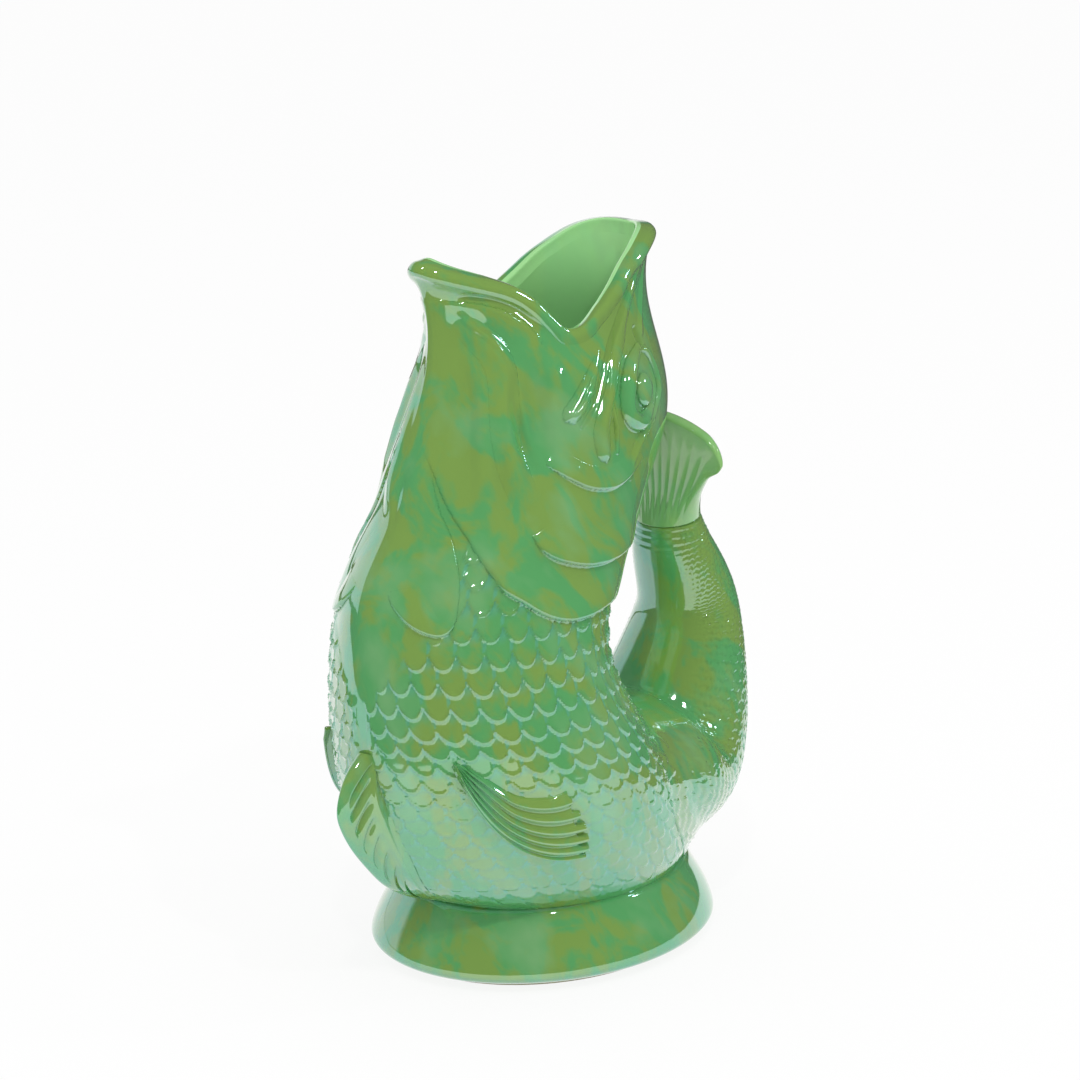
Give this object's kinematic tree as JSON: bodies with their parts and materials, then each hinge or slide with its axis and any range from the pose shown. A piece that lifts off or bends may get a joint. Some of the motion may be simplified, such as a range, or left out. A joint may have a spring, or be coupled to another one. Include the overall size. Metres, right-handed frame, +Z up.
{
  "type": "gurgle jug",
  "caption": "Upright fish-shaped ceramic gurgle jug: open-mouth pouring spout, hollow curled tail as handle, oval foot, green lustre glaze.",
  "frame": {"origin": "middle of the jug's bounding box, at the level of the table under the foot", "axes": "+Z up, -X towards the pouring mouth, +X towards the tail handle, Y across, the jug is symmetric about Y = 0"},
  "size_m": [0.1941, 0.1092, 0.244],
  "materials": {
    "lustre_glaze": "glossy mottled green mother-of-pearl lustre glaze",
    "bare_clay": "unglazed matt cream earthenware"
  },
  "bodies": {
    "root": {"foot_ring": "bare_clay", "foot": "lustre_glaze", "belly_shell": "lustre_glaze", "neck_shell": "lustre_glaze", "head_shell": "lustre_glaze", "mouth_rim": "lustre_glaze", "lip_ridge": "lustre_glaze", "tail_tube": "lustre_glaze", "tail_fan": "lustre_glaze", "ventral_fin": "lustre_glaze", "pectoral_fin_left": "lustre_glaze", "pectoral_fin_right": "lustre_glaze", "gill_covers_left": "lustre_glaze", "gill_covers_right": "lustre_glaze", "jaw_lobe_left": "lustre_glaze", "jaw_lobe_right": "lustre_glaze", "cheek_folds_left": "lustre_glaze", "cheek_folds_right": "lustre_glaze", "throat_fold_left": "lustre_glaze", "throat_fold_right": "lustre_glaze", "gular_fold_left": "lustre_glaze", "gular_fold_right": "lustre_glaze", "eye_ring_left": "lustre_glaze", "eye_ring_right": "lustre_glaze", "eyeball_left": "lustre_glaze", "eyeball_right": "lustre_glaze"}
  },
  "joints": []
}
